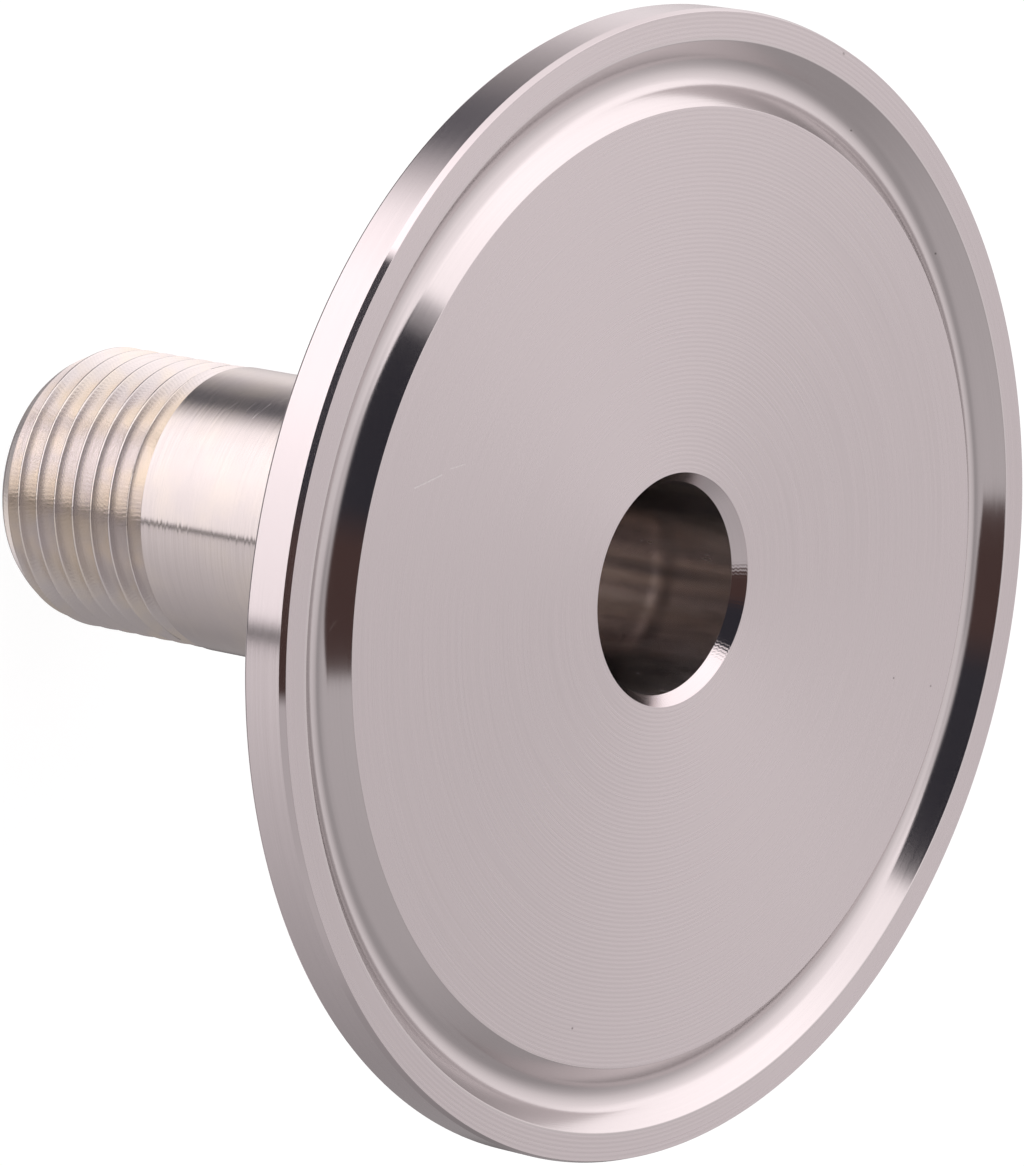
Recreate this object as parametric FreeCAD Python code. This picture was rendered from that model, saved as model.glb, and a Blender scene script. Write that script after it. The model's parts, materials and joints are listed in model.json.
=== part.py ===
import FreeCAD, Part
import math
import os

# Sanitary clamp threaded adapter: one turned piece of stainless steel.
# A clamp flange with a gasket groove carries a short round nipple with a male
# pipe thread at its far end, and one bore runs right through both.
# The axis is Z. The thread end stands on z = 0 and the sealing face is on top.

# The units, the axis, and how far a cutter stands clear

MILLIMETRES_PER_INCH = 25.4
AXIS_POINT = FreeCAD.Vector(0, 0, 0)
AXIS = FreeCAD.Vector(0, 0, 1)
SAME_PLACE = 0.001
CUTTER_CLEARANCE = 1.0

# Sizes, in millimetres, degrees and threads to the inch

overall_length = 44.0
flange_diameter = 64.0
flange_thickness = 6.35
rim_thickness = 2.85
rim_back_angle = 20.0
rim_front_break_width = 0.13
rim_front_break_depth = 0.38
rim_back_break = 0.12

groove_diameter = 57.0
groove_width = 3.6
groove_wall_angle = 45.0
groove_bottom_radius = 1.25

bore_diameter = 11.9
mouth_chamfer_width = 0.57
mouth_chamfer_depth = 0.68
bore_exit_chamfer = 0.3

barrel_diameter = 16.4
flange_root_radius = 1.2

thread_diameter = 16.3
thread_length = 11.7
thread_depth = 0.87
threads_per_inch = 18
thread_angle = 60.0
lead_chamfer_width = 0.85
lead_chamfer_angle = 27.0

# Worked out from the sizes above

flange_radius = flange_diameter / 2
face_height = overall_length
flange_back_height = face_height - flange_thickness
rim_back_height = face_height - rim_thickness
back_cone_height = flange_thickness - rim_thickness
back_cone_run = back_cone_height / math.tan(math.radians(rim_back_angle))
flange_back_radius = flange_radius - back_cone_run

groove_slope = math.radians(groove_wall_angle)
groove_middle_radius = groove_diameter / 2
groove_v_depth = groove_width / 2 * math.tan(groove_slope)
groove_depth = groove_v_depth - groove_bottom_radius * (1 / math.cos(groove_slope) - 1)

bore_radius = bore_diameter / 2
barrel_radius = barrel_diameter / 2

thread_radius = thread_diameter / 2
thread_root_radius = thread_radius - thread_depth
thread_pitch = MILLIMETRES_PER_INCH / threads_per_inch
thread_root_flat = thread_pitch / 8
flank_slope = math.tan(math.radians(thread_angle / 2))
lead_chamfer_length = lead_chamfer_width / math.tan(math.radians(lead_chamfer_angle))
foot_radius = thread_radius - lead_chamfer_width

runout_root_top = thread_length - (barrel_radius - thread_root_radius) * flank_slope
runout_root_bottom = runout_root_top - thread_root_flat


def section_point(radius, height):
    """A point of a half section, at a radius from the axis and a height."""
    return FreeCAD.Vector(radius, 0, height)


def turn(edges):
    """The solid that a closed half section sweeps in one full turn about the axis."""
    section = Part.Face(Part.Wire(edges))
    return section.revolve(AXIS_POINT, AXIS, 360)


def turn_outline(corners):
    """The turned solid whose half section has straight sides between its corners."""
    points = [section_point(radius, height) for radius, height in corners]
    closed = points + points[:1]
    edges = [Part.LineSegment(start, end).toShape() for start, end in zip(closed, closed[1:])]
    return turn(edges)


def circles_at(shape, radius, height):
    """The round edges of a shape that lie at one radius and one height."""
    found = []
    for edge in shape.Edges:
        curve = edge.Curve
        if not isinstance(curve, Part.Circle):
            continue
        if abs(curve.Radius - radius) < SAME_PLACE and abs(curve.Center.z - height) < SAME_PLACE:
            found.append(edge)
    return found


def clamp_flange():
    """The flange: a flat sealing face, a straight rim and a cone behind it for the clamp."""
    break_start = flange_radius - rim_front_break_width
    break_end = face_height - rim_front_break_depth
    back_break_run = rim_back_break / math.tan(math.radians(rim_back_angle))
    return turn_outline([
        (0, flange_back_height),
        (flange_back_radius, flange_back_height),
        (flange_radius - back_break_run, rim_back_height - rim_back_break),
        (flange_radius, rim_back_height + rim_back_break),
        (flange_radius, break_end),
        (break_start, face_height),
        (0, face_height),
    ])


def threaded_nipple():
    """The nipple, up to the flange: a lead chamfer, the thread's crests and the plain barrel.

    The thread's stretch has the smooth form of its crests, and the step up to the
    barrel lies in the ring where the thread stops.
    """
    return turn_outline([
        (0, 0),
        (foot_radius, 0),
        (thread_radius, lead_chamfer_length),
        (thread_radius, runout_root_top),
        (barrel_radius, runout_root_top),
        (barrel_radius, flange_back_height),
        (0, flange_back_height),
    ])


def gasket_groove():
    """The ring that the gasket's bead fills: two sloping walls that run into a round bottom."""
    wall_foot = groove_bottom_radius * math.sin(groove_slope)
    foot_height = face_height - (groove_width / 2 - wall_foot) * math.tan(groove_slope)
    inner_edge = section_point(groove_middle_radius - groove_width / 2, face_height)
    inner_foot = section_point(groove_middle_radius - wall_foot, foot_height)
    bottom = section_point(groove_middle_radius, face_height - groove_depth)
    outer_foot = section_point(groove_middle_radius + wall_foot, foot_height)
    outer_edge = section_point(groove_middle_radius + groove_width / 2, face_height)
    return turn([
        Part.LineSegment(inner_edge, inner_foot).toShape(),
        Part.Arc(inner_foot, bottom, outer_foot).toShape(),
        Part.LineSegment(outer_foot, outer_edge).toShape(),
        Part.LineSegment(outer_edge, inner_edge).toShape(),
    ])


def thread_runout():
    """The V-shaped ring where the thread stops, with the thread's own flanks and depth."""
    cutter_radius = barrel_radius + CUTTER_CLEARANCE
    flank_run = (cutter_radius - thread_root_radius) * flank_slope
    return turn_outline([
        (thread_root_radius, runout_root_bottom),
        (thread_root_radius, runout_root_top),
        (cutter_radius, runout_root_top + flank_run),
        (cutter_radius, runout_root_bottom - flank_run),
    ])


def through_bore():
    """The flow passage, with a chamfer at the sealing face and a smaller one at the thread end."""
    return turn_outline([
        (0, 0),
        (bore_radius + bore_exit_chamfer, 0),
        (bore_radius, bore_exit_chamfer),
        (bore_radius, face_height - mouth_chamfer_depth),
        (bore_radius + mouth_chamfer_width, face_height),
        (0, face_height),
    ])


def adapter_body():
    """The whole adapter as one solid."""
    body = clamp_flange().fuse(threaded_nipple()).removeSplitter()
    root = circles_at(body, barrel_radius, flange_back_height)
    body = body.makeFillet(flange_root_radius, root)
    return body.cut(gasket_groove()).cut(thread_runout()).cut(through_bore())


parts = {"adapter_body": adapter_body()}

os.makedirs("parts", exist_ok=True)
for name, shape in parts.items():
    solid = shape.Solids[0]
    solid.exportStep(os.path.join("parts", name + ".step"))
    box = solid.optimalBoundingBox(False)
    print(name, "solids", len(shape.Solids), "valid", solid.isValid(),
          "volume %.1f" % solid.Volume, "size %.2f x %.2f x %.2f" % (box.XLength, box.YLength, box.ZLength))
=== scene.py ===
# %% [markdown]
# # A clamp adapter turned from one bar of stainless steel
#
# The real object came off a lathe in one piece: a flange with a gasket groove, a plain
# barrel, a pipe thread at the far end, and a bore through it all. Nearly every surface is
# a surface of revolution. So this lesson draws one half section, carries it round the
# axis, lets the thread climb as it goes round, and then gives each stretch of the section
# the finish that its own cut left on the steel. The solid model of the piece is loaded
# first, as the frame that the skin has to fit.

import json
import math

import bpy
import numpy as np
from mathutils import Matrix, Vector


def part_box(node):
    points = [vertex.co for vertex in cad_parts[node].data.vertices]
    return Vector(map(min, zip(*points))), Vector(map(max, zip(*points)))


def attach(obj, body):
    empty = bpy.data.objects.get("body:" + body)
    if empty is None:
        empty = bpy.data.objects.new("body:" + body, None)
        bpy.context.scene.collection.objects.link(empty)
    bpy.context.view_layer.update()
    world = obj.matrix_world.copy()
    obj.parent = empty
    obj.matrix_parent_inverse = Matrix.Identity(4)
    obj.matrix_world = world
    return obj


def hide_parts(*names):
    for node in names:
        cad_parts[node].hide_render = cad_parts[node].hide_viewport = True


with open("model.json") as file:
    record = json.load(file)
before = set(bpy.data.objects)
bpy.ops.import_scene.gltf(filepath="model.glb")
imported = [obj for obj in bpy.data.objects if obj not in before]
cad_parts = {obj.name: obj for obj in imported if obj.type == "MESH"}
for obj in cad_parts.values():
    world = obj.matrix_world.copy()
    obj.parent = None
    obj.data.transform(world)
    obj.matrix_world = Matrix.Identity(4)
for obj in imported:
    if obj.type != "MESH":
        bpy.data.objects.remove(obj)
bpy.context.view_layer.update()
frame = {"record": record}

# %% [markdown]
# ## Sizes
#
# The frame says how wide and how tall the object is, and its mounts give the radius of
# the bore and of the thread. The rest are sizes of the section, in millimetres, as a
# turner would read them off a drawing. A chamfer or an edge break is given by its two
# legs, across the axis and along it. Most edges have the same small round.

# %% Read the sizes
MM = 0.001
body_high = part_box("adapter_body")[1]
mounts = {mount["name"]: mount for mount in frame["record"]["mounts"]}

rim_radius = min(body_high.x, body_high.y) / MM
face_height = body_high.z / MM
bore_radius = mounts["through_bore"]["dims"]["r_mm"]
crest_radius = mounts["male_thread"]["dims"]["r_mm"]
print("rim radius %.3f, face height %.3f, bore radius %.2f, crest radius %.2f mm"
      % (rim_radius, face_height, bore_radius, crest_radius))

# %% Sizes of the flange and the barrel
rim_thickness = 2.85
flange_thickness = 6.35
back_angle = math.radians(20)
front_break = (0.13, 0.38)
back_break = 0.09
rim_back_round = 0.2
flat_back_round = 0.3
barrel_radius = 8.2
root_round = 1.2
edge_round = 0.05
print("flange %.2f mm thick, rim %.2f mm" % (flange_thickness, rim_thickness))

# %% Sizes of the gasket groove
groove_radius = 28.47
groove_width = 3.6
groove_slope = math.radians(45)
groove_bottom_round = 1.25
groove_half = groove_width / 2
groove_v_depth = groove_half * math.tan(groove_slope)
bright_margin = 0.15
print("groove: %.2f mm wide, its walls would meet %.2f mm down" % (groove_width, groove_v_depth))

# %% Sizes of the bore
mouth_chamfer = (0.57, 0.68)
exit_chamfer = 0.3
ridge_place = 38.4
ridge_height = 0.08
ridge_half = 0.8
ridge_top_round = 4
ridge_foot_round = 6
print("the bore's faint ridge lies %.1f mm down" % (face_height - ridge_place))

# %% Sizes of the thread
MM_PER_INCH = 25.4
THREADS_PER_INCH = 18
thread_pitch = MM_PER_INCH / THREADS_PER_INCH
thread_length = 11.7
thread_depth = 0.98
flank_slope = math.tan(math.radians(30))
crest_flat = 0.12
crest_round = 0.012
first_crest = 2.10
runout_depth = 0.87
runout_flat = thread_pitch / 16
runout_climb = 0.3
lead_chamfer = 0.85
chamfer_slope = math.tan(math.radians(27))
foot_break = (0.245, 0.35)

root_radius = crest_radius - thread_depth
runout_radius = crest_radius - runout_depth
foot_radius = crest_radius - lead_chamfer
print("thread: pitch %.3f mm, root radius %.2f mm" % (thread_pitch, root_radius))

# %% [markdown]
# ## The half section
#
# The body could be put together from cylinders and cones with booleans, but each of their
# joints would need its edge rounded afterwards. One half section holds all the edges at
# once. It is a chain of corners. A lathe tool leaves no edge truly sharp, and it is the
# small rounds that catch the light, so each corner carries the radius of its round. Each
# stretch between two corners carries the name of its finish and the longest step it may
# be divided into.

# %% Round a corner
ROUND_STEP = math.radians(18)
ROUND_LENGTH = 0.12


def rounded_corner(before, corner, after, radius):
    """Points and outward normals of the arc that is tangent to both sides of a corner.

    The arc's centre lies on the corner's bisector, radius / sin(half angle) away, and
    the arc starts radius / tan(half angle) from the corner along each side.
    """
    back = (before - corner) / np.linalg.norm(before - corner)
    ahead = (after - corner) / np.linalg.norm(after - corner)
    half = math.acos(np.clip(back @ ahead, -1, 1)) / 2
    centre = corner + (back + ahead) / np.linalg.norm(back + ahead) * radius / math.sin(half)
    start = corner + back * radius / math.tan(half) - centre
    end = corner + ahead * radius / math.tan(half) - centre
    sweep = math.pi - 2 * half
    steps = max(3, math.ceil(sweep / ROUND_STEP), math.ceil(sweep * radius / ROUND_LENGTH))
    share = np.linspace(0, 1, steps + 1)[:, None]
    spokes = (np.sin((1 - share) * sweep) * start + np.sin(share * sweep) * end) / math.sin(sweep)
    left_turn = back[0] * ahead[1] - back[1] * ahead[0] < 0
    return centre + spokes, spokes / radius * (1 if left_turn else -1)


print("rounds are drawn in steps of at most %.0f degrees" % math.degrees(ROUND_STEP))

# %% Follow a chain of corners
SAME_PLACE = 1e-9


def section_line(corners):
    """A chain of corners as rows of the section.

    Each corner is (radius, height, round, finish, step). Its finish and its longest step
    are those of the stretch that leaves it, and its own round has the finish of the
    stretch before it. Returns the rows' points, the normal that each strip from one row to
    the next has at its start and at its end, and each strip's finish. The section runs
    anticlockwise, so a strip's outward normal is its direction turned a quarter turn
    clockwise.
    """
    places = np.array([corner[:2] for corner in corners], dtype=float)
    points, starts, ends, finishes = [places[0]], [], [], []

    def add_strip(point, start, end, finish):
        points.append(point)
        starts.append(start)
        ends.append(end)
        finishes.append(finish)

    def add_stretch(target, finish, step):
        origin = points[-1]
        run = target - origin
        length = np.linalg.norm(run)
        if length < SAME_PLACE:
            return
        normal = np.array([run[1], -run[0]]) / length
        for share in np.linspace(0, 1, max(1, math.ceil(length / step)) + 1)[1:]:
            add_strip(origin + run * share, normal, normal, finish)

    for index in range(1, len(corners)):
        finish, step = corners[index - 1][3:]
        radius = corners[index][2]
        if radius == 0 or index == len(corners) - 1:
            add_stretch(places[index], finish, step)
            continue
        arc, normals = rounded_corner(places[index - 1], places[index], places[index + 1], radius)
        add_stretch(arc[0], finish, step)
        for point, start, end in zip(arc[1:], normals, normals[1:]):
            add_strip(point, start, end, finish)
    return np.array(points), np.array(starts), np.array(ends), finishes


# %% The section from the middle of the bore, round the foot, to the thread
bore_middle = face_height / 2
chamfer_start = foot_radius + foot_break[1] * chamfer_slope
bore_line = section_line([
    # radius, height, round, then the finish and the longest step of the stretch that follows
    (bore_radius, bore_middle, 0, "bore", 1.5),
    (bore_radius, exit_chamfer, edge_round, "edge", 1.0),
    (bore_radius + exit_chamfer, 0, edge_round, "edge", 1.0),
    (chamfer_start - foot_break[0], 0, edge_round, "thread", 1.0),
    (chamfer_start, foot_break[1], 0, "thread", 1.0),
])
print("bore line:", len(bore_line[0]), "rows")

# %% The section from the thread's end, over the flange, back into the bore
back_height = face_height - flange_thickness
rim_back = face_height - rim_thickness
back_radius = rim_radius - (flange_thickness - rim_thickness) / math.tan(back_angle)
cone_end = rim_radius - back_break / math.tan(back_angle)
outer_line = section_line([
    # the same columns
    (barrel_radius, thread_length, 0, "barrel", 1.5),
    (barrel_radius, back_height, root_round, "back", 1.5),
    (back_radius, back_height, flat_back_round, "back", 2.0),
    (cone_end, rim_back - back_break, edge_round, "edge", 1.0),
    (rim_radius, rim_back + back_break, rim_back_round, "rim", 1.2),
    (rim_radius, face_height - front_break[1], edge_round, "edge", 1.0),
    (rim_radius - front_break[0], face_height, edge_round / 2, "lip", 0.6),
    (groove_radius + groove_half + bright_margin, face_height, 0, "groove", 0.6),
    (groove_radius + groove_half, face_height, 2 * edge_round, "groove", 0.3),
    (groove_radius, face_height - groove_v_depth, groove_bottom_round, "groove", 0.3),
    (groove_radius - groove_half, face_height, edge_round, "face", 1.5),
    (bore_radius + mouth_chamfer[0], face_height, edge_round / 2, "mouth", 1.0),
    (bore_radius, face_height - mouth_chamfer[1], edge_round, "bore", 1.5),
    (bore_radius, ridge_place + ridge_half, ridge_foot_round, "bore", 0.3),
    (bore_radius - ridge_height, ridge_place, ridge_top_round, "bore", 0.3),
    (bore_radius, ridge_place - ridge_half, ridge_foot_round, "bore", 1.5),
    (bore_radius, bore_middle, 0, "bore", 1.5),
])
print("outer line:", len(outer_line[0]), "rows")

# %% [markdown]
# ## The thread
#
# A thread could be a swept profile cut out with a boolean. Here it is part of the same
# grid instead. Its rows climb by one pitch in each turn, so a row always lies on the
# same line of the thread, such as a crest's edge, and every edge stays crisp. Rows that
# would leave the threaded length are held at its two ends, where they merge into one
# circle. Near the foot, rows also move onto the lines where the thread leaves the lead
# chamfer.

# %% The thread's form
def thread_end(turn):
    """Where the thread stops, which climbs round the front as the thread itself does."""
    return thread_length + runout_climb * np.sin(2 * math.pi * turn)


def thread_radius(height, turn):
    """The radius of the threaded end at a height and a share of a turn from the front.

    It is the least of three forms: the 60 degree thread, or the plain barrel above it; the
    lead chamfer's cone; and the V-shaped ring where the thread stops. From a crest to its
    flank the thread falls by (d + sqrt(d^2 + round^2)) / 2 over the flank's slope, where d
    is the distance past the crest's edge, so the edge is a small round.
    """
    climb = (height - first_crest) / thread_pitch - turn
    past_edge = np.abs(climb - np.round(climb)) * thread_pitch - crest_flat / 2
    fall = (past_edge + np.sqrt(past_edge ** 2 + crest_round ** 2)) / 2 / flank_slope
    thread = np.maximum(crest_radius - fall, root_radius)
    chamfer = foot_radius + height * chamfer_slope
    root_top = thread_end(turn) - (barrel_radius - runout_radius) * flank_slope
    root_bottom = root_top - runout_flat
    above = (height - root_top) / flank_slope
    below = (root_bottom - height) / flank_slope
    ring = runout_radius + np.maximum(0, np.maximum(above, below))
    plain = np.where(height > root_top, barrel_radius, thread)
    return np.minimum(np.minimum(plain, chamfer), ring)


middle_crest = first_crest + 3 * thread_pitch
print("thread: radius %.2f mm at a crest, %.2f mm at a root" % (
    thread_radius(middle_crest, 0), thread_radius(middle_crest + thread_pitch / 2, 0)))

# %% The thread's normals
SLOPE_SHARE = 0.04


def thread_normals(height, other, turn):
    """Outward normals (1, -dr/dz) of the strips between two rows, close to the first row.

    The slope is taken a small share of the way to the other row, so that it is the slope
    of this strip also where the row lies on a sharp edge.
    """
    step = np.where(height == other, 1.0, other - height) * SLOPE_SHARE
    slope = (thread_radius(height + 2 * step, turn) - thread_radius(height + step, turn)) / step
    normal = np.stack([np.ones_like(slope), -slope], axis=-1)
    return normal / np.linalg.norm(normal, axis=-1, keepdims=True)


flank_normal = thread_normals(middle_crest + thread_pitch / 4,
                              middle_crest + thread_pitch / 3, 0)
print("thread: a flank faces %.0f degrees up from level"
      % math.degrees(math.atan2(flank_normal[1], flank_normal[0])))

# %% Where each row of one turn lies, measured from the crest's middle
flank_foot = crest_flat / 2 + thread_depth * flank_slope
# Four rows follow the round of the crest's edge, and four the flank down to its foot.
from_crest_to_foot = np.array([0.048, 0.056, 0.064, 0.075, 0.12, 0.26, 0.42, flank_foot])
row_places = np.concatenate([[-thread_pitch / 2], -from_crest_to_foot[::-1],
                             [0], from_crest_to_foot])
ROWS_A_TURN = len(row_places)
print("thread:", ROWS_A_TURN, "rows a turn")


# %% Keep the edge of the lead chamfer crisp
def rows_to_chamfer(heights, turn, numbers_of_turns):
    """Moves rows onto the lines where the thread leaves the lead chamfer.

    A flank or a crest meets the chamfer's cone, foot_radius + height * chamfer_slope,
    along a line that climbs more slowly or faster than the rows do. In each column the
    row that is nearest to such a line moves onto it, so the edge there is crisp.
    """
    cut = crest_radius - foot_radius
    steep = 1 / flank_slope
    columns = np.arange(len(turn))
    for number in numbers_of_turns:
        crest = first_crest + (number + turn) * thread_pitch
        top, bottom = crest + crest_flat / 2, crest - crest_flat / 2
        upper_flank = (cut + top * steep) / (steep + chamfer_slope)
        lower_flank = (bottom * steep - cut) / (steep - chamfer_slope)
        on_crest = np.full_like(crest, cut / chamfer_slope)
        for meeting, low, high in (
                (upper_flank, top, crest + flank_foot),
                (lower_flank, crest - flank_foot, bottom),
                (on_crest, bottom, top)):
            free = (heights > foot_break[1]) & (heights < thread_end(turn))
            nearest = np.where(free, np.abs(heights - meeting), np.inf).argmin(axis=0)
            met = (meeting > low) & (meeting < high) & (meeting > foot_break[1])
            heights[nearest[met], columns[met]] = meeting[met]
    return heights


# %% The thread's rows
COLUMNS = 288
turns = np.linspace(-0.5, 0.5, COLUMNS + 1)
lowest_turn = math.floor(-first_crest / thread_pitch - 0.5)
highest_turn = math.ceil((thread_length - first_crest) / thread_pitch + 0.5)
turn_numbers = np.arange(lowest_turn, highest_turn + 1)
row_climb = (turn_numbers[:, None] * thread_pitch + row_places).ravel()
thread_height = np.clip(first_crest + row_climb[:, None] + turns * thread_pitch,
                        foot_break[1], thread_end(turns))
thread_height = rows_to_chamfer(thread_height, turns, turn_numbers)
thread_rows = np.stack([thread_radius(thread_height, turns), thread_height], axis=-1)
thread_starts = thread_normals(thread_height[:-1], thread_height[1:], turns)
thread_ends = thread_normals(thread_height[1:], thread_height[:-1], turns)
print("thread:", len(row_climb), "rows in", len(turn_numbers), "turns")

# %% [markdown]
# ## Carry the section round
#
# A Screw modifier can turn a section that stays the same all the way round, but the
# thread's section changes as it climbs. So all the rows go into one grid that closes both
# ways: round the axis, and round the section. The seam down the back needs care in the
# thread alone, where a row meets the row one whole turn further up. Every corner of a face
# gets the section's own normal, so a flat stretch shades flat right up to its edge.

# %% Gather the rows of the whole section
def spread(line):
    """A line's rows and its strips' normals, repeated over every column, and its finishes."""
    points, starts, ends, finishes = line
    wide = [np.repeat(values[:, None, :], COLUMNS + 1, axis=1) for values in (points, starts, ends)]
    return wide, finishes


(bore_rows, bore_starts, bore_ends), bore_finishes = spread(bore_line)
(outer_rows, outer_starts, outer_ends), outer_finishes = spread(outer_line)
outer_rows[0, :, 1] = thread_end(turns)

rows = np.concatenate([bore_rows[:-1], thread_rows[:-1], outer_rows])
starts = np.concatenate([bore_starts, thread_starts, outer_starts])
ends = np.concatenate([bore_ends, thread_ends, outer_ends])
finishes = bore_finishes + ["thread"] * len(thread_starts) + outer_finishes
print("section:", len(rows), "rows,", len(finishes), "strips")

# %% Number the grid's points
first_thread = len(bore_rows) - 1
last_thread = first_thread + len(thread_rows) - 1
threaded = slice(first_thread, last_thread + 1)
row_count = len(rows) - 1
# The last column is the first one over again, and there each row of the thread meets the
# row of the next turn. The last row is the first one over again too.
seam_row = np.arange(row_count + 1)
seam_row[threaded] = np.minimum(seam_row[threaded] + ROWS_A_TURN, last_thread)
seam_row[-1] = 0
numbers = np.empty((row_count + 1, COLUMNS + 1), dtype=int)
numbers[:, :COLUMNS] = np.arange(row_count + 1)[:, None] * COLUMNS + np.arange(COLUMNS)
numbers[-1, :COLUMNS] = numbers[0, :COLUMNS]
numbers[:, COLUMNS] = numbers[seam_row, 0]
print("grid:", row_count, "rows by", COLUMNS, "columns")

# %% Place the grid's points
angle = turns * 2 * math.pi
radius_mm, height_mm = rows[..., 0], rows[..., 1]
grid = np.stack([radius_mm * np.sin(angle), -radius_mm * np.cos(angle), height_mm], axis=-1)
points = grid[:-1, :COLUMNS].reshape(-1, 3)

steps_along = np.linalg.norm(np.diff(rows[:, 0], axis=0), axis=1)
along = np.concatenate([[0], np.cumsum(steps_along)])
# The mesh will carry the share of a turn and the distance along the section, in metres.
unrolled = np.stack([np.broadcast_to(turns + 0.5, rows.shape[:2]),
                     np.repeat(along[:, None], COLUMNS + 1, axis=1) * MM], axis=-1)
print("the section is %.1f mm long all round" % along[-1])


# %% Work out each face's corners
def corners_of(values):
    """The four corners' values of each face, from values at the grid's points."""
    return np.stack([values[:-1, :-1], values[:-1, 1:], values[1:, 1:], values[1:, :-1]], axis=2)


def face_normals():
    """The four corners' normals of each face: the section's normal, turned to its column."""
    flat = np.stack([starts[:, :-1], starts[:, 1:], ends[:, 1:], ends[:, :-1]], axis=2)
    round_it = corners_of(np.broadcast_to(angle, rows.shape[:2]))
    out, up = flat[..., 0], flat[..., 1]
    return np.stack([out * np.sin(round_it), -out * np.cos(round_it), up], axis=-1)


corner_normals = face_normals().reshape(-1, 4, 3)
print("faces:", len(corner_normals), "before the ones without any area are dropped")

# %% Build the mesh
# Points that agree to this many digits of a millimetre are one point.
MERGE_DIGITS = 6


def turned_mesh(name, finish_order):
    """The closed mesh of the whole grid, with points that coincide merged into one.

    A face whose neighbouring corners coincide loses one of them, and a face that is left
    with fewer than three is dropped.
    """
    _, kept, same = np.unique(np.round(points, MERGE_DIGITS), axis=0,
                              return_index=True, return_inverse=True)
    quads = same.reshape(-1)[corners_of(numbers)].reshape(-1, 4)
    corner_kept = quads != np.roll(quads, 1, axis=1)
    used = corner_kept.sum(axis=1)
    corner_kept &= (used >= 3)[:, None]
    sides = used[used >= 3]
    strip_finish = np.array([finish_order.index(finish) for finish in finishes])
    face_finish = np.repeat(strip_finish, COLUMNS)[used >= 3]

    mesh = bpy.data.meshes.new(name)
    mesh.vertices.add(len(kept))
    mesh.vertices.foreach_set("co", (points[kept] * MM).astype(np.float32).ravel())
    mesh.loops.add(int(sides.sum()))
    mesh.loops.foreach_set("vertex_index", quads[corner_kept].astype(np.int32))
    mesh.polygons.add(len(sides))
    mesh.polygons.foreach_set("loop_start", (np.cumsum(sides) - sides).astype(np.int32))
    mesh.polygons.foreach_set("material_index", face_finish.astype(np.int32))
    mesh.polygons.foreach_set("use_smooth", np.ones(len(sides), dtype=bool))
    layer = mesh.uv_layers.new(name="turning")
    mesh.update(calc_edges=True)
    places = corners_of(unrolled).reshape(-1, 4, 2)[corner_kept]
    layer.data.foreach_set("uv", places.astype(np.float32).ravel())
    mesh.normals_split_custom_set(corner_normals[corner_kept].tolist())
    return mesh


FINISHES = ["face", "lip", "rim", "groove", "edge", "mouth", "bore", "barrel", "back", "thread"]
body_mesh = turned_mesh("turned_adapter", FINISHES)
turned_adapter = bpy.data.objects.new("turned_adapter", body_mesh)
bpy.context.scene.collection.objects.link(turned_adapter)
triangles = sum(len(polygon.vertices) - 2 for polygon in body_mesh.polygons)
print("turned_adapter:", len(body_mesh.vertices), "points,", triangles, "triangles")

# %% [markdown]
# ## Helpers for nodes
#
# A material is a small machine of nodes. Written out in full, each node takes a line for
# every setting and every link. These helpers place a node, set or join its inputs, and do
# sums, so that the cells below read like the formulas that they stand for.

# %% Place and join nodes
def join(tree, node, inputs):
    """Gives each named input of a node a socket to join to, or a value to hold."""
    for name, value in inputs.items():
        if isinstance(value, bpy.types.NodeSocket):
            tree.links.new(value, node.inputs[name])
        else:
            node.inputs[name].default_value = value


def place(tree, kind, inputs=None, **settings):
    """Adds a node with its settings and its inputs."""
    node = tree.nodes.new(kind)
    for name, value in settings.items():
        setattr(node, name, value)
    join(tree, node, inputs or {})
    return node


def object_place(tree):
    """The shaded point in the object's own coordinates, in metres."""
    return place(tree, "ShaderNodeTexCoord").outputs["Object"]


# %% Do sums with nodes
def sums(tree, operation, *values):
    """The result of a Math node."""
    return place(tree, "ShaderNodeMath", dict(enumerate(values)), operation=operation).outputs[0]


def vectors(tree, operation, *values, result=0):
    """The result of a Vector Math node: 0 is its vector, and 1 its number."""
    node = place(tree, "ShaderNodeVectorMath", dict(enumerate(values)), operation=operation)
    return node.outputs[result]


def scaled(tree, vector, factor):
    """A vector times a number."""
    return place(tree, "ShaderNodeVectorMath", {0: vector, "Scale": factor},
                 operation="SCALE").outputs[0]


def smooth_rise(tree, value, start, end):
    """0 below start, 1 above end, and a smooth rise between. Start may be above end."""
    return place(tree, "ShaderNodeMapRange", {"Value": value, "From Min": start, "From Max": end},
                 interpolation_type="SMOOTHSTEP").outputs["Result"]


# The Mix node has sockets for every kind of value, and these are its sockets for colours.
MIX_FIRST, MIX_SECOND, MIX_RESULT = 6, 7, 2


def blend_colour(tree, share, first, second):
    """The first colour at share 0, and the second at share 1."""
    return place(tree, "ShaderNodeMix", {0: share, MIX_FIRST: first, MIX_SECOND: second},
                 data_type="RGBA").outputs[MIX_RESULT]


# %% Make and use groups of nodes
FLOAT, VECTOR = "NodeSocketFloat", "NodeSocketVector"


def new_group(name, inputs, outputs):
    """An empty group, the sockets that its inputs arrive at, and the node that it ends in.

    Inputs are kinds of socket by name, and each output is a number.
    """
    group = bpy.data.node_groups.new(name, "ShaderNodeTree")
    for label, kind in inputs.items():
        group.interface.new_socket(label, in_out="INPUT", socket_type=kind)
    for label in outputs:
        group.interface.new_socket(label, in_out="OUTPUT", socket_type=FLOAT)
    return group, group.nodes.new("NodeGroupInput").outputs, group.nodes.new("NodeGroupOutput")


def use_group(tree, group, inputs):
    """Places a group in a tree and returns its outputs."""
    return place(tree, "ShaderNodeGroup", inputs, node_tree=group).outputs


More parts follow.
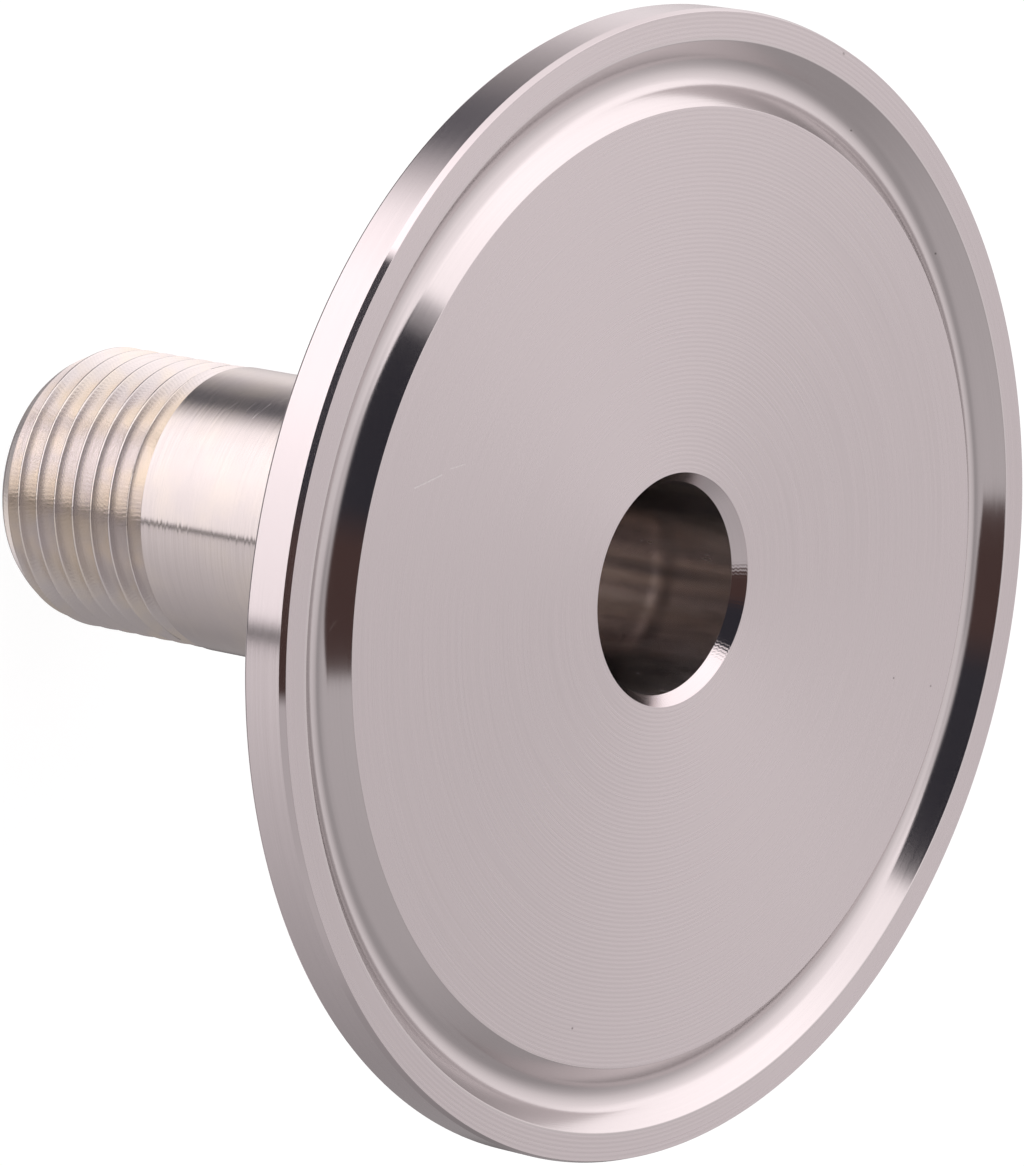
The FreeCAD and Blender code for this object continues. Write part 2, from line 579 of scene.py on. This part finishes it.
# %% [markdown]
# ## The marks that turning leaves
#
# A lathe tool leaves a spiral so fine that it looks like rings. In the mesh it would take
# millions of faces, and a picture of it would blur close up, so nodes work out its height.
# The mesh carries how far along the section each point lies, and one sine wave of that
# distance makes the rings on any surface, flat or round. It fades out towards the front
# and the back, where the light runs along the rings. Fine streaks run round the work too.
# They are noise read at a point on a small circle, so that it changes slowly round the
# axis and fast along the section, and has no seam. Two faults of real turning go in as
# well. Chatter is a ripple that runs across the rings, and sway tips each ring a little
# round the axis, which frays the edge of whatever the steel reflects.

# %% The group for turning marks
WHOLE_TURN = 2 * math.pi
RINGS_FROM = 0.75
CHATTERS = 190
CHATTER_DRIFT = 6.0


def turning_marks_group():
    """The height of the marks, the streaks' own pattern, and how far each ring is tipped.

    Rings are sin(2 pi along / feed), and grow from nothing where |x| / radius is
    RINGS_FROM to their full height where it is 1. Streaks are noise at
    (x, y) / radius * length and along / size. Chatter is sin(2 pi turn CHATTERS + drift),
    and drift and sway are noise of along / feed.
    """
    tree, start, end = new_group(
        "turning_marks",
        {"Along": FLOAT, "Turn": FLOAT, "Feed": FLOAT, "Ring Height": FLOAT,
         "Streak Size": FLOAT, "Streak Height": FLOAT, "Streak Length": FLOAT,
         "Chatter Height": FLOAT, "Sway": FLOAT},
        ["Height", "Streaks", "Sway"])
    ring = sums(tree, "DIVIDE", start["Along"], start["Feed"])
    flat = vectors(tree, "MULTIPLY", object_place(tree), (1, 1, 0))
    circle = vectors(tree, "NORMALIZE", flat)

    wave = sums(tree, "SINE", sums(tree, "MULTIPLY", ring, WHOLE_TURN))
    aside = sums(tree, "ABSOLUTE", place(tree, "ShaderNodeSeparateXYZ", {0: circle}).outputs["X"])
    rings = sums(tree, "MULTIPLY", sums(tree, "MULTIPLY", wave, start["Ring Height"]),
                 smooth_rise(tree, aside, RINGS_FROM, 1.0))

    fine = sums(tree, "DIVIDE", start["Along"], start["Streak Size"])
    spot = vectors(tree, "ADD", scaled(tree, circle, start["Streak Length"]),
                   place(tree, "ShaderNodeCombineXYZ", {"Z": fine}).outputs[0])
    pattern = place(tree, "ShaderNodeTexNoise",
                    {"Vector": spot, "Scale": 1.0, "Detail": 3.0, "Roughness": 0.6}).outputs[0]
    streaks = sums(tree, "MULTIPLY", sums(tree, "SUBTRACT", pattern, 0.5), start["Streak Height"])

    by_ring = place(tree, "ShaderNodeTexNoise", {"W": ring, "Scale": 1.0, "Detail": 2.0},
                    noise_dimensions="1D").outputs[0]
    phase = sums(tree, "MULTIPLY_ADD", start["Turn"], WHOLE_TURN * CHATTERS,
                 sums(tree, "MULTIPLY", by_ring, CHATTER_DRIFT))
    chatter = sums(tree, "MULTIPLY", sums(tree, "SINE", phase), start["Chatter Height"])

    height = sums(tree, "ADD", sums(tree, "ADD", rings, streaks), chatter)
    sway = sums(tree, "MULTIPLY", sums(tree, "SUBTRACT", by_ring, 0.5), start["Sway"])
    join(tree, end, {"Height": height, "Streaks": pattern, "Sway": sway})
    return tree


turning_marks = turning_marks_group()
print("turning marks:", len(turning_marks.nodes), "nodes")

# %% [markdown]
# ## Scratches and pits
#
# A scratch is a short straight line. It could be painted onto an image, but a formula
# stays sharp however close the camera comes. Its mask is the distance from the shaded
# point to that line, turned into 1 on the line and 0 beyond its width. A pit is a scratch
# with hardly any length. Each one is placed where the real piece has been knocked.
# A scratch's cut and a pit's dent are real bumps. The near-white colour of a scratch is a painted
# glint, and the near-black colour of a pit is painted shade.

# %% The group for one scratch
NOT_ZERO = 1e-12


def scratch_group():
    """The larger of the sum so far and this scratch's mask.

    The nearest point of the line lies at share (point - from) . reach / reach . reach of
    the way along it, held between 0 and 1, where reach is the line from end to end.
    """
    tree, start, end = new_group(
        "scratch",
        {"Sum": FLOAT, "From": VECTOR, "To": VECTOR, "Width": FLOAT, "Strength": FLOAT},
        ["Sum"])
    reach = vectors(tree, "SUBTRACT", start["To"], start["From"])
    offset = vectors(tree, "SUBTRACT", object_place(tree), start["From"])
    square = sums(tree, "ADD", vectors(tree, "DOT_PRODUCT", reach, reach, result=1), NOT_ZERO)
    share = place(tree, "ShaderNodeMath",
                  {0: vectors(tree, "DOT_PRODUCT", offset, reach, result=1), 1: square},
                  operation="DIVIDE", use_clamp=True).outputs[0]
    apart = vectors(tree, "DISTANCE", offset, scaled(tree, reach, share), result=1)
    mask = smooth_rise(tree, apart, start["Width"], 0.0)
    marked = sums(tree, "MULTIPLY", mask, start["Strength"])
    join(tree, end, {"Sum": sums(tree, "MAXIMUM", start["Sum"], marked)})
    return tree


scratch = scratch_group()
print("scratch:", len(scratch.nodes), "nodes")


# %% Gather scratches into one mask
def add_marks(tree, marks):
    """One mask of all the marks in a list of (from, to, width, strength), in millimetres."""
    total = 0.0
    for first, last, width, strength in marks:
        total = use_group(tree, scratch, {
            "Sum": total, "From": [c * MM for c in first], "To": [c * MM for c in last],
            "Width": width * MM, "Strength": strength})["Sum"]
    return total


# %% [markdown]
# ## Patches of colour, and painted reflection in the bore
#
# The real piece has straw-coloured patches on its thread and barrel, such as heat and old
# coolant leave on steel. The lighter bronze bands along its bore are painted reflection: they
# stand for light that the bore mirrors along its length. They could be painted by hand, but
# none of them has an outline that matters. So both are soft clouds of noise, which is
# stretched along the axis where they are bands.

# %% The group for patches
CLOUD_EDGES = (0.4, 0.65)


def patches_group():
    """Noise at (x, y, z * stretch) / size, turned into a mask with soft edges."""
    tree, start, end = new_group("stain", {"Size": FLOAT, "Stretch": FLOAT}, ["Mask"])
    along_axis = place(tree, "ShaderNodeCombineXYZ", {"X": 1.0, "Y": 1.0, "Z": start["Stretch"]})
    squeezed = vectors(tree, "MULTIPLY", object_place(tree), along_axis.outputs[0])
    cloud = place(tree, "ShaderNodeTexNoise",
                  {"Vector": squeezed, "Scale": sums(tree, "DIVIDE", 1.0, start["Size"]),
                   "Detail": 3.0}).outputs[0]
    join(tree, end, {"Mask": smooth_rise(tree, cloud, *CLOUD_EDGES)})
    return tree


patches = patches_group()
print("patches:", len(patches.nodes), "nodes")

# %% [markdown]
# ## One recipe for turned steel
#
# Turned metal is smooth along its marks and rough across them, so a highlight is drawn
# out across the rings. The shader does this with anisotropy: the tangent runs round the
# axis, and a quarter turn of it lays the rough direction across the marks. Each finish
# could have its own set of nodes. But only the roughness, the colour and the size of the
# marks differ from one to the next, so one function builds them all.

# %% Colours of the steel
STEEL = (0.665, 0.62, 0.625)
GROOVE_STEEL = (0.66, 0.625, 0.625)
BARREL_STEEL = (0.665, 0.62, 0.605)
THREAD_STEEL = (0.72, 0.685, 0.67)
# Painted shade: the bore's steel is darker than the rest, for the shade inside it.
SHADED_BORE_STEEL = (0.565, 0.515, 0.51)
STRAW = (0.80, 0.73, 0.62)
# Painted reflection: the bronze of the bore's lighter bands stands for light that the bore mirrors.
BRONZE_REFLECTION = (0.84, 0.765, 0.71)
# Painted highlight: scratches are painted near white as a glint. Their cuts are real bumps.
SCRATCH_GLINT_COLOUR = (0.9, 0.88, 0.87, 1)
# Painted shade: pits are painted near black, for the shade in their dents.
PIT_SHADE_COLOUR = (0.12, 0.1, 0.1, 1)
print("steel:", STEEL)

# %% How much the marks change the steel
STREAK_EDGES = (0.35, 0.75)
STREAK_SHADE = 0.8
BETWEEN_STREAKS = 0.9
MORE_ON_STREAKS = 0.25
SCRATCH_ROUGHNESS = 0.2
SCRATCH_DEPTH = 0.004
PIT_DEPTH = 0.01
print("scratches are %.3f mm deep, and pits %.3f mm" % (SCRATCH_DEPTH, PIT_DEPTH))

# %% Build a turned finish
QUARTER_TURN = 0.25


def turned_steel(name, roughness, anisotropic, rings, streaks, streak_length=1.0, shade=0.15,
                 steel=STEEL, chatter=0.0, sway=0.0, stain=None, scratches=(), pits=()):
    """A turned steel material, with its lengths in millimetres.

    Rings are (feed, height) and streaks (size, height). A stain or reflection is (share,
    colour, size, stretch): a real stain, or bands of painted reflection. The colour and the
    roughness follow the streaks, and scratches and pits are laid over them, with a painted
    glint on each scratch and painted shade in each pit.
    """
    material = bpy.data.materials.new(name)
    material.use_nodes = True
    tree = material.node_tree
    turning = place(tree, "ShaderNodeSeparateXYZ",
                    {0: place(tree, "ShaderNodeUVMap", uv_map="turning").outputs[0]}).outputs
    marks = use_group(tree, turning_marks, {
        "Along": turning["Y"], "Turn": turning["X"],
        "Feed": rings[0] * MM, "Ring Height": rings[1] * MM,
        "Streak Size": streaks[0] * MM, "Streak Height": streaks[1] * MM,
        "Streak Length": streak_length, "Chatter Height": chatter * MM, "Sway": sway})
    streaked = smooth_rise(tree, marks["Streaks"], *STREAK_EDGES)
    darker = [channel * STREAK_SHADE for channel in steel]
    colour = blend_colour(tree, sums(tree, "MULTIPLY", streaked, shade), (*steel, 1), (*darker, 1))
    rough = sums(tree, "MULTIPLY_ADD", streaked, roughness * MORE_ON_STREAKS,
                 roughness * BETWEEN_STREAKS)
    height = marks["Height"]
    # A real stain, or in the bore bands of painted reflection.
    if stain:
        amount, stain_or_reflection_colour, size, stretch = stain
        cloud = use_group(tree, patches, {"Size": size * MM, "Stretch": stretch})["Mask"]
        colour = blend_colour(tree, sums(tree, "MULTIPLY", cloud, amount), colour, (*stain_or_reflection_colour, 1))
    # A scratch is cut in and rougher, and painted near white as a glint.
    if scratches:
        scratch_and_glint = add_marks(tree, scratches)
        colour = blend_colour(tree, scratch_and_glint, colour, SCRATCH_GLINT_COLOUR)
        rough = sums(tree, "MULTIPLY_ADD", scratch_and_glint, SCRATCH_ROUGHNESS, rough)
        height = sums(tree, "MULTIPLY_ADD", scratch_and_glint, -SCRATCH_DEPTH * MM, height)
    # A pit is dented, and painted near black as the shade in it.
    if pits:
        pit_and_shade = add_marks(tree, pits)
        colour = blend_colour(tree, pit_and_shade, colour, PIT_SHADE_COLOUR)
        height = sums(tree, "MULTIPLY_ADD", pit_and_shade, -PIT_DEPTH * MM, height)
    bump = place(tree, "ShaderNodeBump", {"Strength": 1.0, "Distance": 1.0, "Height": height})
    tangent = place(tree, "ShaderNodeTangent", direction_type="RADIAL", axis="Z").outputs[0]
    swayed = vectors(tree, "MULTIPLY", tangent, marks["Sway"])
    normal = vectors(tree, "NORMALIZE", vectors(tree, "ADD", bump.outputs[0], swayed))
    join(tree, tree.nodes["Principled BSDF"], {
        "Base Color": colour, "Roughness": rough, "Normal": normal, "Tangent": tangent,
        "Metallic": 1.0, "Anisotropic": anisotropic, "Anisotropic Rotation": QUARTER_TURN})
    return material


# %% [markdown]
# ## The finishes
#
# The face and its lip are faced with a visible feed, and so are satin. The rim, the
# groove and the broken edges are bright, and the mouth's chamfer shows chatter. The bore's
# steel is painted darker, as painted shade inside it, and its lighter bronze bands are
# painted reflection. The barrel is bright with a few scratches, and the thread has straw
# patches and a few pits. Scratches are painted near white as a glint, and pits near black
# as the shade in their dents. One material with masks could do it, but every finish ends on
# an edge of the section, so each is a material that whole strips of faces wear. A mark
# below is a line from one point to another, with its width, all in millimetres, and its
# strength.

# %% Finishes of the flange
FACE_SCRATCHES = [
    ((-2.82, -23.31, 44), (-3.77, -21.32, 44), 0.07, 0.8),
    ((-4.16, -20.75, 44), (-4.57, -19.60, 44), 0.06, 0.5),
]
FACE_PITS = [
    ((2.66, 21.46, 44), (2.66, 21.50, 44), 0.09, 0.7),
    ((2.74, 25.10, 44), (2.74, 25.13, 44), 0.09, 0.7),
    ((24.60, -1.78, 44), (24.60, -1.75, 44), 0.10, 0.8),
]
LIP_PITS = [
    ((-30.98, 6.28, 44), (-30.95, 6.35, 44), 0.12, 0.5),
]
GROOVE_SCRATCHES = [
    ((4.76, -26.87, 43.39), (5.34, -27.02, 43.13), 0.05, 0.35),
    ((4.90, -26.97, 43.25), (5.20, -26.80, 43.42), 0.05, 0.35),
]
GROOVE_PITS = [
    ((-26.93, 8.19, 44), (-27.06, 9.94, 42.7), 0.09, 0.8),
    ((-21.41, 18.06, 44), (-21.51, 19.81, 42.7), 0.10, 0.8),
]
finish_materials = {}
finish_materials["face"] = turned_steel(
    "faced_satin", roughness=0.30, anisotropic=0.75, rings=(0.26, 0.0016),
    streaks=(0.05, 0.0004), shade=0.05, scratches=FACE_SCRATCHES, pits=FACE_PITS)
finish_materials["lip"] = turned_steel(
    "lip_satin", roughness=0.30, anisotropic=0.75, rings=(0.26, 0.0018),
    streaks=(0.05, 0.0002), shade=0.03, pits=LIP_PITS)
finish_materials["rim"] = turned_steel(
    "rim_bright", roughness=0.16, anisotropic=0.9, rings=(0.21, 0.0002),
    streaks=(0.04, 0.0004), sway=0.008)
finish_materials["groove"] = turned_steel(
    "groove_bright", roughness=0.14, anisotropic=0.9, rings=(0.17, 0.0001),
    streaks=(0.04, 0.0001), steel=GROOVE_STEEL, sway=0.006,
    scratches=GROOVE_SCRATCHES, pits=GROOVE_PITS)
finish_materials["edge"] = turned_steel(
    "broken_edge", roughness=0.08, anisotropic=0.8, rings=(0.11, 0.0001),
    streaks=(0.04, 0.0003))
finish_materials["back"] = turned_steel(
    "turned_back", roughness=0.24, anisotropic=0.9, rings=(0.22, 0.0010),
    streaks=(0.05, 0.0008))
print("flange:", ", ".join(finish_materials))

# %% Finishes of the bore and its mouth
finish_materials["mouth"] = turned_steel(
    "mouth_chamfer", roughness=0.12, anisotropic=0.8, rings=(0.13, 0.0001),
    streaks=(0.04, 0.0003), chatter=0.0010)
# The bore's darker steel is painted shade, and its bronze bands are painted reflection.
finish_materials["bore"] = turned_steel(
    "drilled_bore", roughness=0.24, anisotropic=0.9, rings=(0.15, 0.0001),
    streaks=(3.0, 0.0001), streak_length=9.0, shade=0.3, steel=SHADED_BORE_STEEL,
    stain=(1.0, BRONZE_REFLECTION, 2.4, 0.12))
print("bore:", finish_materials["bore"].name)

# %% Finishes of the barrel and the thread
BARREL_SCRATCHES = [
    ((-5.18, -6.35, 17.16), (-6.21, -5.36, 17.42), 0.06, 0.5),
    ((-5.60, -5.99, 16.3), (-6.10, -5.48, 16.4), 0.05, 0.3),
    ((-6.35, -5.19, 17.9), (-6.80, -4.58, 18.0), 0.05, 0.3),
    ((-5.35, -6.21, 14.9), (-5.95, -5.64, 15.2), 0.05, 0.25),
]
THREAD_SCRATCHES = [
    ((2.08, -7.88, 1.62), (2.14, -7.87, 1.66), 0.09, 1.0),
    ((3.14, -7.53, 1.44), (3.18, -7.51, 1.46), 0.07, 1.0),
]
THREAD_PITS = [
    ((2.24, -7.84, 1.77), (2.26, -7.84, 1.70), 0.16, 0.8),
    ((3.28, -7.46, 1.53), (3.30, -7.46, 1.47), 0.12, 0.8),
    ((7.23, -3.77, 7.28), (7.25, -3.75, 7.26), 0.14, 0.8),
]
finish_materials["barrel"] = turned_steel(
    "barrel_bright", roughness=0.17, anisotropic=0.9, rings=(0.16, 0.0002),
    streaks=(0.07, 0.0009), shade=0.2, sway=0.05, steel=BARREL_STEEL,
    stain=(0.25, STRAW, 4.0, 1.0), scratches=BARREL_SCRATCHES)
finish_materials["thread"] = turned_steel(
    "cut_thread", roughness=0.22, anisotropic=0.8, rings=(0.19, 0.0004),
    streaks=(0.05, 0.0010), chatter=0.0010, steel=THREAD_STEEL,
    stain=(0.6, STRAW, 3.0, 1.0), scratches=THREAD_SCRATCHES, pits=THREAD_PITS)
print("nipple:", finish_materials["barrel"].name, "and", finish_materials["thread"].name)

# %% Dress the adapter
for finish in FINISHES:
    body_mesh.materials.append(finish_materials[finish])
print("finishes:", ", ".join(material.name for material in body_mesh.materials))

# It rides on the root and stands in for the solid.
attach(turned_adapter, "root")
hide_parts("adapter_body")

# %% [markdown]
# ## The studio
#
# Polished steel has hardly a colour of its own: it shows the room. Real lamps and cards
# would have to be kept out of the camera's view. So the studio is painted onto the world
# as the cards round a photographer's table would look from the work: a softbox on one
# side, a grey wall on the other, and the dark behind the camera between them. They hang
# in seven rings, from straight overhead down to the table. A ring is a colour ramp over
# the bearing round the axis, measured from the front, and the rings blend into each other
# by how far a direction falls from straight up.

# %% Choose the cards
CARD_TINT = (0.97, 0.903, 0.916)
DARK_LEFT, DARK_RIGHT = (0.035, 0.036, 0.045), (0.08, 0.05, 0.045)
STAND = (0.115, 0.12, 0.135)
CARD_RINGS = [
    # name, fall at which it takes over from the ring above, blur, and (bearing, level) stops
    ("zenith", 0, 0, [
        (-180, 0.62), (-90, 0.8), (0, 0.6), (90, 0.48), (150, 0.38), (180, 0.62)]),
    ("overhead", 16, 16, [
        (-180, 0.85), (-165, 1.0), (-145, 1.15), (-110, 1.2), (-62, 1.35), (-59.5, 1.3),
        (-58, DARK_LEFT), (-6, DARK_LEFT), (4, DARK_RIGHT), (35.5, DARK_RIGHT),
        (37, 0.62), (60, 0.6), (100, 0.55), (122, 0.44), (150, 0.45), (165, 0.65), (180, 0.85)]),
    ("cards", 52, 16, [
        (-180, 0.85), (-165, 1.0), (-150, 1.15), (-138, 1.45), (-120, 1.6), (-50, 1.8),
        (-48, DARK_LEFT), (-6, DARK_LEFT), (4, DARK_RIGHT), (30, DARK_RIGHT),
        (32, 0.62), (100, 0.55), (122, 0.42), (145, 0.42), (165, 0.65), (180, 0.85)]),
    ("far table", 99.5, 4, [
        (-180, 0.7), (-155, 0.8), (-148, 1.2), (-120, 1.15), (-66, 1.35), (-50, 2.0),
        (-30, 3.1), (-10, 2.9), (10, 1.9), (20.5, 1.3), (22, 0.1), (24, 0.1),
        (25.5, 0.58), (40, 0.52), (50, 0.74), (62, 0.82), (72, 0.65), (90, 0.43),
        (120, 0.34), (150, 0.22), (172, 0.25), (180, 0.7)]),
    ("table", 117, 6, [
        (-180, 0.4), (-172, 0.6), (-158, 0.85), (-146, 1.05), (-134, 1.0), (-122, 0.6),
        (-110, 0.34), (-98, STAND), (-86, STAND), (-75, 0.9), (-66, 1.55), (-50, 1.8),
        (-26, 1.75), (-2, 1.53), (16, 1.42), (20.5, 1.4), (22, 0.1), (24, 0.1),
        (25.5, 0.97), (34, 0.93), (58, 0.72), (82, 0.57), (106, 0.45), (125, 0.38),
        (158, 0.36), (168, 0.12), (180, 0.4)]),
    ("near table", 140, 6, [
        (-180, 0.2), (-160, 0.25), (-148, 0.55), (-130, 0.5), (-118, 0.1), (20, 0.1),
        (40, 0.25), (110, 0.4), (128, 1.2), (150, 1.2), (160, 0.3), (180, 0.2)]),
    ("foot", 168, 6, [
        (-180, 0.6), (0, 0.6), (180, 0.6)]),
]
print("studio:", len(CARD_RINGS), "rings,", sum(len(stops) for *_, stops in CARD_RINGS), "stops")

# %% Hang the cards
BRIGHTEST = 3.2
WHITE = (1, 1, 1, 1)


def card_ring(tree, turn, stops):
    """One ring of cards: a ramp over the bearing, in shares of the brightest level.

    A stop's level is one number for a grey, or three for a colour.
    """
    ramp = place(tree, "ShaderNodeValToRGB", {0: turn})
    elements = ramp.color_ramp.elements
    while len(elements) < len(stops):
        elements.new(1.0)
    for element, (bearing, level) in zip(elements, stops):
        red, green, blue = np.broadcast_to(level, 3) / BRIGHTEST
        element.position = (bearing + 180) / 360
        element.color = (red, green, blue, 1)
    return ramp.outputs["Color"]


def studio_world():
    """The world: white to the camera, and the rings of cards to everything else.

    The bearing is atan2(x, -y) and the fall is acos(z) of a direction.
    """
    world = bpy.data.worlds.new("studio")
    world.use_nodes = True
    tree = world.node_tree
    tree.nodes.clear()
    direction = place(tree, "ShaderNodeTexCoord").outputs["Generated"]
    way = place(tree, "ShaderNodeSeparateXYZ", {0: direction}).outputs
    bearing = sums(tree, "ARCTAN2", way["X"], sums(tree, "MULTIPLY", way["Y"], -1.0))
    turn = sums(tree, "MULTIPLY_ADD", bearing, 1 / WHOLE_TURN, 0.5)
    fall = sums(tree, "DEGREES", sums(tree, "ARCCOSINE", way["Z"]))
    colour = card_ring(tree, turn, CARD_RINGS[0][3])
    for _, takes_over, blur, stops in CARD_RINGS[1:]:
        share = smooth_rise(tree, fall, takes_over - blur / 2, takes_over + blur / 2)
        colour = blend_colour(tree, share, colour, card_ring(tree, turn, stops))
    paint = vectors(tree, "MULTIPLY", colour, [BRIGHTEST * tint for tint in CARD_TINT])
    seen = place(tree, "ShaderNodeLightPath").outputs["Is Camera Ray"]
    shown = blend_colour(tree, seen, paint, WHITE)
    background = place(tree, "ShaderNodeBackground", {"Color": shown, "Strength": 1.0})
    place(tree, "ShaderNodeOutputWorld", {"Surface": background.outputs[0]})
    return world


# The cards need no light samples of their own: the steel's reflections find them.
studio = studio_world()
studio.cycles.sampling_method = "NONE"
bpy.context.scene.world = studio
print("studio:", len(studio.node_tree.nodes), "nodes")

# %% [markdown]
# ## The floor
#
# The adapter stands on a plain pale floor. More light would make the floor white, but it
# would fall on the steel too. So to the camera the floor glows by itself, until it is
# white where nothing shades it, and its own diffuse part keeps the soft shadow.
# Reflections look past it to the studio's lower cards.

# %% Lay the floor
FLOOR_HALF = 3.0
FLOOR_PALE = (0.8, 0.8, 0.8, 1)
FLOOR_SHADED = (0.2, 0.2, 0.2, 1)
FLOOR_GLOW = 0.92


def floor_material():
    """White to the camera with the object's shadow in it, and plain pale to other rays."""
    material = bpy.data.materials.new("pale_floor")
    material.use_nodes = True
    tree = material.node_tree
    tree.nodes.clear()
    plain = place(tree, "ShaderNodeBsdfDiffuse", {"Color": FLOOR_PALE})
    shaded = place(tree, "ShaderNodeBsdfDiffuse", {"Color": FLOOR_SHADED})
    glow = place(tree, "ShaderNodeEmission", {"Color": WHITE, "Strength": FLOOR_GLOW})
    lit = place(tree, "ShaderNodeAddShader", {0: shaded.outputs[0], 1: glow.outputs[0]})
    seen = place(tree, "ShaderNodeLightPath").outputs["Is Camera Ray"]
    mixed = place(tree, "ShaderNodeMixShader", {0: seen, 1: plain.outputs[0], 2: lit.outputs[0]})
    place(tree, "ShaderNodeOutputMaterial", {"Surface": mixed.outputs[0]})
    return material


floor_signs = ((-1, -1), (1, -1), (1, 1), (-1, 1))
floor_corners = [(x * FLOOR_HALF, y * FLOOR_HALF, 0) for x, y in floor_signs]
floor_mesh = bpy.data.meshes.new("floor")
floor_mesh.from_pydata(floor_corners, [], [(0, 1, 2, 3)])
floor_mesh.materials.append(floor_material())
floor = bpy.data.objects.new("floor", floor_mesh)
floor.visible_glossy = False
bpy.context.scene.collection.objects.link(floor)
print("floor: %.0f m square" % (2 * FLOOR_HALF))

# %% [markdown]
# ## The camera
#
# The picture was taken from nearly half a metre away with a long lens, looking down at
# the face with the camera rolled over, so that the adapter seems to lie on its side. A
# Track To constraint would keep the camera level, so its turn is built from three angles.

# %% Set the camera
CAMERA_PLACE = (0.0, -356.46, 322.92)
CAMERA_ELEVATION = math.radians(39.1536)
CAMERA_BEARING = math.radians(-0.2007)
CAMERA_ROLL = math.radians(100.5822)
FOCAL_LENGTH = 254.56
SENSOR_WIDTH = 36.0
NEAREST_SEEN = 0.05

lens = bpy.data.cameras.new("camera")
lens.sensor_width = SENSOR_WIDTH
lens.lens = FOCAL_LENGTH
lens.clip_start = NEAREST_SEEN
camera = bpy.data.objects.new("camera", lens)
tilt = Matrix.Rotation(math.pi / 2 - CAMERA_ELEVATION, 4, "X")
aim = Matrix.Rotation(CAMERA_BEARING, 4, "Z") @ tilt @ Matrix.Rotation(CAMERA_ROLL, 4, "Z")
camera.matrix_world = Matrix.Translation([c * MM for c in CAMERA_PLACE]) @ aim
bpy.context.scene.collection.objects.link(camera)
bpy.context.scene.camera = camera
bpy.context.scene.view_settings.view_transform = "Standard"
print("camera at", [round(c, 4) for c in camera.matrix_world.translation])
